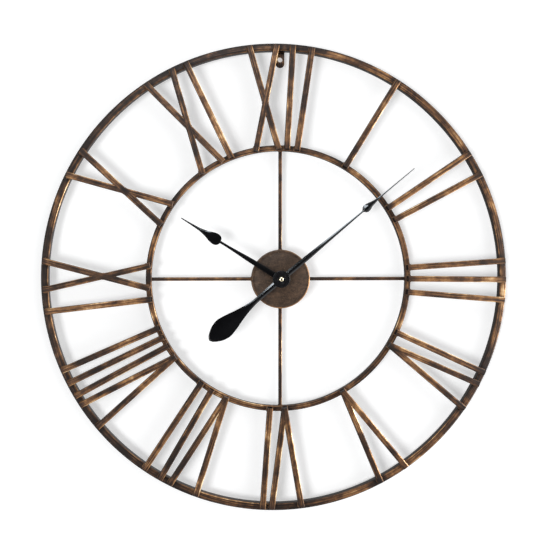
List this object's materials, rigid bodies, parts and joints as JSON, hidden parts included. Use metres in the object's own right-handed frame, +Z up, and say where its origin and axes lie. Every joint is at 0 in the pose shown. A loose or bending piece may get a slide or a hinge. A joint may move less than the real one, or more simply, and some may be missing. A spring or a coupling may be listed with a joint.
{
  "type": "wall clock",
  "caption": "Skeleton wall clock: two square-tube rings joined by welded bar Roman numerals, round hub pan with quartz movement, and black spade hands.",
  "frame": {"origin": "centre of the clock's box: on the hands' axis, half way between the wall and the front of the cap nut", "axes": "+Z up to twelve, +X right to three, the face looks along -Y and the wall is at +Y"},
  "size_m": [0.8, 0.033, 0.8],
  "materials": {
    "bronze": "dark bronze paint rubbed back to copper along the bars",
    "bronze_plate": "mottled dark bronze, rubbed copper at the rim",
    "brass": "turned brass",
    "steel": "bright stamped steel",
    "dark_steel": "sintered magnet",
    "bright_steel": "polished",
    "rubber": "matt",
    "black_plastic": "fine moulded grain",
    "white_plastic": "moulded",
    "copper": "enamelled winding wire",
    "green_board": "solder mask",
    "battery_sleeve": "printed sleeve with no marks",
    "gloss_black": "gloss black"
  },
  "bodies": {
    "frame": {"battery": "battery_sleeve", "brass_washer": "brass", "circuit_board": "green_board", "coil": "copper", "coil_core": "steel", "contact_negative": "steel", "contact_positive": "steel", "eight_bar_a": "bronze", "eight_bar_b": "bronze", "eight_bar_c": "bronze", "eight_vee": "bronze", "eleven_bar": "bronze", "eleven_cross": "bronze", "five_vee": "bronze", "four_bar": "bronze", "four_vee": "bronze", "hanging_eye": "bronze", "hex_nut": "brass", "hub_pan": "bronze_plate", "inner_ring": "bronze", "middle_plate": "white_plastic", "movement_case_back": "black_plastic", "movement_case_front": "black_plastic", "nine_bar": "bronze", "nine_cross": "bronze", "one_bar": "bronze", "outer_ring": "bronze", "quartz_crystal": "steel", "rubber_gasket": "rubber", "seven_bar_a": "bronze", "seven_bar_b": "bronze", "seven_vee": "bronze", "six_bar": "bronze", "six_vee": "bronze", "spoke_bottom": "bronze", "spoke_left": "bronze", "spoke_right": "bronze", "spoke_top": "bronze", "stator": "steel", "ten_cross": "bronze", "threaded_bushing": "brass", "three_bar_a": "bronze", "three_bar_b": "bronze", "three_bar_c": "bronze", "twelve_bar_a": "bronze", "twelve_bar_b": "bronze", "twelve_cross": "bronze", "two_bar_a": "bronze", "two_bar_b": "bronze"},
    "minute_hand": {"minute_hand": "gloss_black", "cap_nut": "bright_steel", "centre_arbor": "steel"},
    "hour_hand": {"hour_hand": "gloss_black", "hour_wheel": "white_plastic"},
    "minute_wheel": {"minute_wheel": "white_plastic"},
    "setting_knob": {"setting_knob": "black_plastic"},
    "third_wheel": {"third_wheel": "white_plastic"},
    "second_wheel": {"second_wheel": "white_plastic"},
    "fifth_wheel": {"fifth_wheel": "white_plastic"},
    "rotor": {"rotor": "dark_steel"}
  },
  "joints": [
    {"name": "minute_hand_turn", "type": "hinge", "parent": "frame", "child": "minute_hand", "pos_m": [0, -0.0124, 0], "axis": [0, 1, 0], "continuous": true},
    {"name": "hour_hand_turn", "type": "hinge", "parent": "frame", "child": "hour_hand", "pos_m": [0, -0.0094, 0], "axis": [0, 1, 0], "continuous": true},
    {"name": "minute_wheel_turn", "type": "hinge", "parent": "frame", "child": "minute_wheel", "pos_m": [-0.01039, 0.0057, 0.006], "axis": [0, 1, 0], "continuous": true},
    {"name": "setting_knob_turn", "type": "hinge", "parent": "frame", "child": "setting_knob", "pos_m": [-0.01811, 0.0156, 0.01519], "axis": [0, 1, 0], "continuous": true},
    {"name": "third_wheel_turn", "type": "hinge", "parent": "frame", "child": "third_wheel", "pos_m": [-0.0115, 0.0112, 0.00419], "axis": [0, 1, 0], "continuous": true},
    {"name": "second_wheel_turn", "type": "hinge", "parent": "frame", "child": "second_wheel", "pos_m": [0, 0.0127, 0], "axis": [0, 1, 0], "continuous": true},
    {"name": "fifth_wheel_turn", "type": "hinge", "parent": "frame", "child": "fifth_wheel", "pos_m": [0.00987, 0.0111, 0.00359], "axis": [0, 1, 0], "continuous": true},
    {"name": "rotor_turn", "type": "hinge", "parent": "frame", "child": "rotor", "pos_m": [0.01347, 0.0057, 0.00983], "axis": [0, 1, 0], "continuous": true}
  ],
  "couplings": [
    {"joint": "hour_hand_turn", "follows": "minute_hand_turn", "ratio": 0.083333},
    {"joint": "minute_wheel_turn", "follows": "minute_hand_turn", "ratio": -0.33333},
    {"joint": "setting_knob_turn", "follows": "minute_hand_turn", "ratio": 1},
    {"joint": "third_wheel_turn", "follows": "minute_hand_turn", "ratio": -7.5},
    {"joint": "second_wheel_turn", "follows": "minute_hand_turn", "ratio": 60},
    {"joint": "fifth_wheel_turn", "follows": "minute_hand_turn", "ratio": -360},
    {"joint": "rotor_turn", "follows": "minute_hand_turn", "ratio": 1800}
  ]
}
